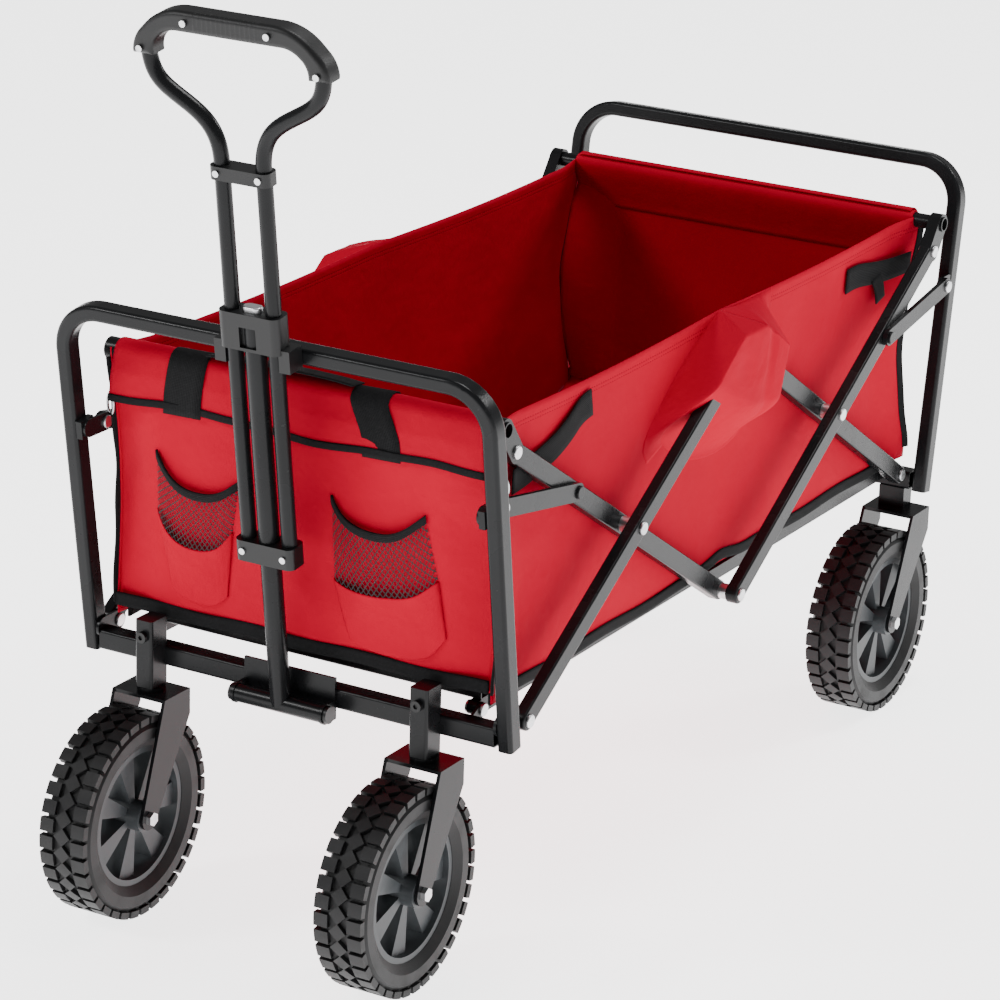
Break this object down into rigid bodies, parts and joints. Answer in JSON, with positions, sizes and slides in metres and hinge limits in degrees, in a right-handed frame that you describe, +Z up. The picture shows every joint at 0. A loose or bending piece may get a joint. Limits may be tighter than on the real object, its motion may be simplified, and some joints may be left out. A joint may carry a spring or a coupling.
{
  "type": "folding camp wagon",
  "caption": "Folding camp wagon: fabric tub on a scissor-linkage steel frame, treaded wheels on forks, swivel casters at the front, and a telescoping pull handle that folds forward.",
  "frame": {"origin": "bottom centre of the whole wagon, on the ground", "axes": "+Z up, the pull handle and casters are at the -Y end, width along X"},
  "size_m": [0.4996, 1.1252, 0.916],
  "materials": {
    "frame_paint": "dark grey powder coat with a fine satin grain",
    "zinc": "bright zinc-plated steel",
    "red_cloth": "bright red woven polyester with black binding",
    "mat_cloth": "red woven cover over stiff boards",
    "black_plastic": "moulded black plastic, fine texture",
    "tyre_rubber": "black rubber with raised tread blocks",
    "rim_plastic": "dark grey moulded plastic"
  },
  "bodies": {
    "front_frame": {"front_hoop": "frame_paint", "front_cross_tube": "frame_paint", "socket_bolts": "zinc", "front_pivot_rivets": "zinc", "handle_bracket": "frame_paint", "handle_pivot_bolt": "zinc"},
    "bars_b": {"bar_b_left": "frame_paint", "bar_b_right": "frame_paint", "rivets_b": "zinc"},
    "bars_a": {"bar_a_left": "frame_paint", "bar_a_right": "frame_paint", "top_tube_front": "frame_paint", "rivets_a": "zinc"},
    "bars_c": {"bar_c_left": "frame_paint", "bar_c_right": "frame_paint", "top_tube_rear": "frame_paint", "rivets_c": "zinc"},
    "bars_d": {"bar_d_left": "frame_paint", "bar_d_right": "frame_paint"},
    "rear_frame": {"rear_hoop": "frame_paint", "rear_cross_tube": "frame_paint", "rear_fork_left": "frame_paint", "rear_fork_right": "frame_paint", "rear_pivot_rivets": "zinc", "rear_axles": "zinc"},
    "link_front": {"link_front_left": "frame_paint", "link_front_right": "frame_paint"},
    "link_rear": {"link_rear_left": "frame_paint", "link_rear_right": "frame_paint"},
    "floor_front": {"floor_frame_front": "frame_paint", "mat_front": "mat_cloth"},
    "floor_rear": {"floor_frame_rear": "frame_paint", "mat_rear": "mat_cloth"},
    "wall_front": {"front_wall": "red_cloth", "hem_front": "red_cloth", "tub_sides": "red_cloth"},
    "wall_rear": {"rear_wall": "red_cloth", "hem_rear": "red_cloth"},
    "handle_base": {"handle_tube": "frame_paint", "handle_hub": "black_plastic"},
    "handle_slide_part": {"slide_tube_left": "frame_paint", "slide_tube_right": "frame_paint", "slide_collar": "black_plastic", "bow_clamp": "black_plastic", "handle_grip": "black_plastic", "handle_screws": "zinc"},
    "hub_button_part": {"hub_button": "black_plastic"},
    "caster_left": {"caster_fork_left": "frame_paint", "caster_axle_left": "zinc"},
    "wheel_front_left": {"tyre_front_left": "tyre_rubber", "rim_front_left": "rim_plastic"},
    "wheel_rear_left": {"tyre_rear_left": "tyre_rubber", "rim_rear_left": "rim_plastic"},
    "caster_right": {"caster_fork_right": "frame_paint", "caster_axle_right": "zinc"},
    "wheel_front_right": {"tyre_front_right": "tyre_rubber", "rim_front_right": "rim_plastic"},
    "wheel_rear_right": {"tyre_rear_right": "tyre_rubber", "rim_rear_right": "rim_plastic"}
  },
  "joints": [
    {"name": "fold", "type": "hinge", "parent": "front_frame", "child": "bars_b", "pos_m": [0, -0.37158, 0.2575], "axis": [1, 0, 0], "range_deg": [0, 55]},
    {"name": "front_cross", "type": "hinge", "parent": "bars_b", "child": "bars_a", "pos_m": [0, -0.16336, 0.3866], "axis": [1, 0, 0], "range_deg": [-96.8, 0]},
    {"name": "lower_middle", "type": "hinge", "parent": "bars_a", "child": "bars_c", "pos_m": [0, 0.05337, 0.25223], "axis": [1, 0, 0], "range_deg": [0, 96.8]},
    {"name": "rear_cross", "type": "hinge", "parent": "bars_c", "child": "bars_d", "pos_m": [0, 0.27009, 0.3866], "axis": [1, 0, 0], "range_deg": [-96.8, 0]},
    {"name": "rear_end", "type": "hinge", "parent": "bars_d", "child": "rear_frame", "pos_m": [0, 0.47831, 0.2575], "axis": [1, 0, 0], "range_deg": [0, 55]},
    {"name": "front_link", "type": "hinge", "parent": "front_frame", "child": "link_front", "pos_m": [0, -0.40117, 0.47076], "axis": [1, 0, 0], "range_deg": [0, 95.15]},
    {"name": "rear_link", "type": "hinge", "parent": "rear_frame", "child": "link_rear", "pos_m": [0, 0.5079, 0.47076], "axis": [1, 0, 0], "range_deg": [-95.15, 0]},
    {"name": "front_floor", "type": "hinge", "parent": "front_frame", "child": "floor_front", "pos_m": [0, -0.37158, 0.2575], "axis": [1, 0, 0], "range_deg": [0, 86.9]},
    {"name": "rear_floor", "type": "hinge", "parent": "rear_frame", "child": "floor_rear", "pos_m": [0, 0.47831, 0.2575], "axis": [1, 0, 0], "range_deg": [-86.9, 0]},
    {"name": "front_hang", "type": "hinge", "parent": "bars_a", "child": "wall_front", "pos_m": [0, -0.39075, 0.54172], "axis": [1, 0, 0], "range_deg": [0, 41.8], "deforming": ["tub_sides"]},
    {"name": "rear_hang", "type": "hinge", "parent": "bars_c", "child": "wall_rear", "pos_m": [0, 0.49749, 0.54172], "axis": [1, 0, 0], "range_deg": [-41.8, 0]},
    {"name": "handle_tilt", "type": "hinge", "parent": "front_frame", "child": "handle_base", "pos_m": [0, -0.42263, 0.237], "axis": [1, 0, 0], "range_deg": [0, 80]},
    {"name": "handle_slide", "type": "slide", "parent": "handle_base", "child": "handle_slide_part", "axis": [0, -0.1323, 0.9912], "range_m": [0, 0.175]},
    {"name": "button_press", "type": "slide", "parent": "handle_base", "child": "hub_button_part", "axis": [0, 0.1323, -0.9912], "range_m": [0, 0.003], "stiffness_N_per_m": 300},
    {"name": "swivel_left", "type": "hinge", "parent": "front_frame", "child": "caster_left", "pos_m": [-0.155, -0.41463, 0.215], "axis": [0, 0, 1], "continuous": true},
    {"name": "roll_front_left", "type": "hinge", "parent": "caster_left", "child": "wheel_front_left", "pos_m": [-0.155, -0.46103, 0.1016], "axis": [1, 0, 0], "continuous": true},
    {"name": "swivel_right", "type": "hinge", "parent": "front_frame", "child": "caster_right", "pos_m": [0.155, -0.41463, 0.215], "axis": [0, 0, 1], "continuous": true},
    {"name": "roll_front_right", "type": "hinge", "parent": "caster_right", "child": "wheel_front_right", "pos_m": [0.155, -0.46103, 0.1016], "axis": [1, 0, 0], "continuous": true},
    {"name": "roll_rear_left", "type": "hinge", "parent": "rear_frame", "child": "wheel_rear_left", "pos_m": [-0.209, 0.43687, 0.1016], "axis": [1, 0, 0], "continuous": true},
    {"name": "roll_rear_right", "type": "hinge", "parent": "rear_frame", "child": "wheel_rear_right", "pos_m": [0.209, 0.43687, 0.1016], "axis": [1, 0, 0], "continuous": true}
  ],
  "couplings": [
    {"joint": "front_cross", "follows": "fold", "ratio": -1.76},
    {"joint": "lower_middle", "follows": "fold", "ratio": 1.76},
    {"joint": "rear_cross", "follows": "fold", "ratio": -1.76},
    {"joint": "rear_end", "follows": "fold", "ratio": 1},
    {"joint": "front_link", "follows": "fold", "ratio": 1.73},
    {"joint": "rear_link", "follows": "fold", "ratio": -1.73},
    {"joint": "front_floor", "follows": "fold", "ratio": 1.58},
    {"joint": "rear_floor", "follows": "fold", "ratio": -1.58},
    {"joint": "front_hang", "follows": "fold", "ratio": 0.76},
    {"joint": "rear_hang", "follows": "fold", "ratio": -0.76}
  ]
}
